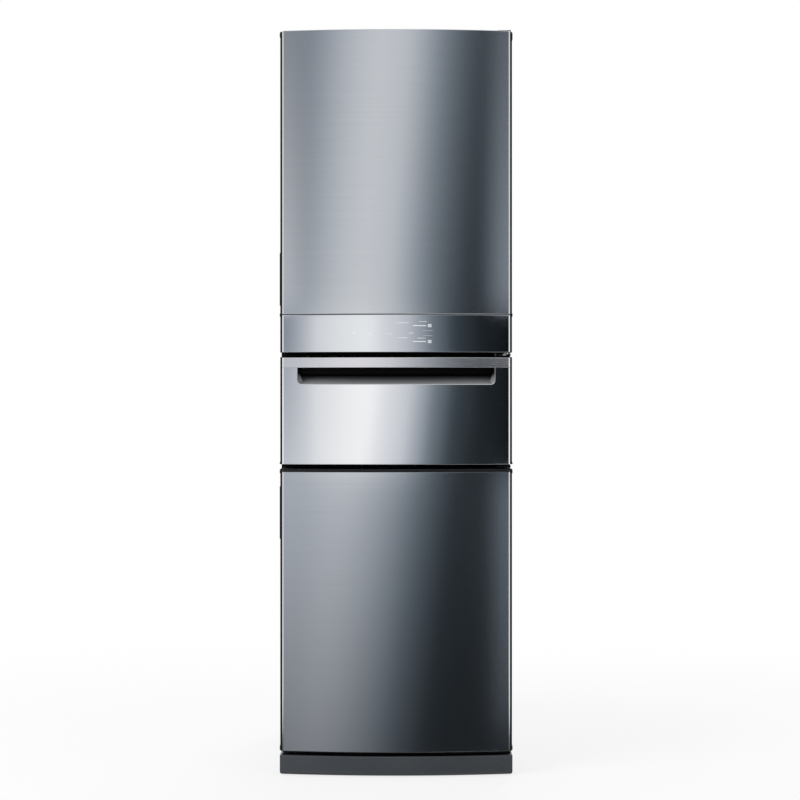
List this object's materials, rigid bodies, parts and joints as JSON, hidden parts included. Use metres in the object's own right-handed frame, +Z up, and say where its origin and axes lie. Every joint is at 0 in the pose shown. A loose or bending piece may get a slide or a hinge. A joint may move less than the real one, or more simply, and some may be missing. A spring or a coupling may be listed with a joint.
{
  "type": "bottom freezer refrigerator",
  "caption": "Tall free-standing refrigerator with a bowed upper door, a middle drawer with a recessed handle and a lower freezer door, hinged on the right.",
  "frame": {"origin": "on the floor, in the middle of the width and of the whole depth", "axes": "+X to the right as seen from the front, -Y out of the front, +Z up"},
  "size_m": [0.6048, 0.69, 1.9455],
  "materials": {
    "brushed_steel": "fine horizontal brushing",
    "polished_steel": "mirror polish",
    "satin_aluminium": "satin anodised",
    "control_glass": "gloss, silvered from behind",
    "black_trim": "satin moulding",
    "plinth_grey": "satin moulding",
    "cabinet_paint": "fine-textured paint",
    "zinc_sheet": "galvanised",
    "foam": "rigid foam, matt",
    "liner_white": "smooth moulding",
    "gasket_grey": "soft matt",
    "clear_plastic": "clear moulding",
    "shelf_glass": "toughened, polished",
    "plated_steel": "zinc plated",
    "black_metal": "black enamel",
    "fin_aluminium": "bare",
    "lamp_white": "opal",
    "roller_black": "hard moulding"
  },
  "bodies": {
    "cabinet": {"cabinet_shell": "cabinet_paint", "rear_panel": "zinc_sheet", "cabinet_insulation": "foam", "fridge_liner": "liner_white", "drawer_cavity_liner": "liner_white", "freezer_liner": "liner_white", "base_pan": "zinc_sheet", "plinth": "plinth_grey", "top_hinge": "plated_steel", "top_hinge_cover": "black_trim", "middle_hinge": "plated_steel", "lower_hinge": "plated_steel", "bottom_hinge": "plated_steel", "hinge_screws": "plated_steel", "compressor": "black_metal", "condenser": "black_metal", "drip_tray": "roller_black", "power_inlet": "roller_black", "evaporator": "fin_aluminium", "evaporator_cover": "liner_white", "air_duct": "liner_white", "fridge_lamp": "lamp_white", "fridge_shelves": "shelf_glass", "crisper_drawer": "clear_plastic", "freezer_drawers": "clear_plastic", "freezer_bottom_drawer": "clear_plastic", "drawer_rails_fixed": "plated_steel"},
    "upper_door": {"upper_door_skin": "brushed_steel", "upper_door_core": "foam", "upper_door_edge_trims": "black_trim", "control_housing": "black_trim", "control_glass": "control_glass", "upper_door_liner": "liner_white", "upper_door_gasket": "gasket_grey", "door_bins": "clear_plastic", "bottle_bin": "clear_plastic", "dairy_bin": "clear_plastic", "upper_door_grip": "black_trim"},
    "dairy_lid": {"dairy_lid": "clear_plastic"},
    "freezer_door": {"freezer_door_skin": "brushed_steel", "freezer_door_core": "foam", "freezer_door_edge_trims": "black_trim", "freezer_door_liner": "liner_white", "freezer_door_gasket": "gasket_grey", "freezer_door_grip": "black_trim"},
    "drawer": {"drawer_skin": "polished_steel", "drawer_bar": "satin_aluminium", "drawer_handle_cup": "black_trim", "drawer_core": "foam", "drawer_edge_trims": "black_trim", "drawer_inner_panel": "liner_white", "drawer_gasket": "gasket_grey", "drawer_bin": "clear_plastic", "drawer_rails_moving": "plated_steel"},
    "drawer_rails_middle": {"drawer_rails_middle": "plated_steel"},
    "door_switch": {"door_switch": "lamp_white"},
    "evaporator_fan": {"evaporator_fan": "liner_white"},
    "rear_rollers": {"rear_rollers": "roller_black"},
    "left_foot": {"left_foot": "roller_black"},
    "right_foot": {"right_foot": "roller_black"}
  },
  "joints": [
    {"name": "upper_door_hinge", "type": "hinge", "parent": "cabinet", "child": "upper_door", "pos_m": [0.286, -0.295, 1.5], "axis": [0, 0, 1], "range_deg": [0, 110]},
    {"name": "freezer_door_hinge", "type": "hinge", "parent": "cabinet", "child": "freezer_door", "pos_m": [0.286, -0.295, 0.43], "axis": [0, 0, 1], "range_deg": [0, 110]},
    {"name": "drawer_slide", "type": "slide", "parent": "cabinet", "child": "drawer", "axis": [0, -1, 0], "range_m": [0, 0.36]},
    {"name": "rail_slide", "type": "slide", "parent": "cabinet", "child": "drawer_rails_middle", "axis": [0, -1, 0], "range_m": [0, 0.18]},
    {"name": "dairy_lid_hinge", "type": "hinge", "parent": "upper_door", "child": "dairy_lid", "pos_m": [0, -0.257, 1.7165], "axis": [1, 0, 0], "range_deg": [0, 85]},
    {"name": "switch_slide", "type": "slide", "parent": "cabinet", "child": "door_switch", "axis": [0, -1, 0], "range_m": [0, 0.006]},
    {"name": "fan_spin", "type": "hinge", "parent": "cabinet", "child": "evaporator_fan", "pos_m": [0, 0.184, 0.689], "axis": [0, 1, 0], "continuous": true},
    {"name": "roller_spin", "type": "hinge", "parent": "cabinet", "child": "rear_rollers", "pos_m": [0, 0.275, 0.013], "axis": [1, 0, 0], "continuous": true},
    {"name": "left_foot_turn", "type": "hinge", "parent": "cabinet", "child": "left_foot", "pos_m": [-0.24, -0.21, 0.02], "axis": [0, 0, 1], "range_deg": [-720, 720]},
    {"name": "right_foot_turn", "type": "hinge", "parent": "cabinet", "child": "right_foot", "pos_m": [0.24, -0.21, 0.02], "axis": [0, 0, 1], "range_deg": [-720, 720]}
  ],
  "couplings": [
    {"joint": "rail_slide", "follows": "drawer_slide", "ratio": 0.5},
    {"joint": "switch_slide", "follows": "upper_door_hinge", "m_per_rad": 0.003125}
  ]
}
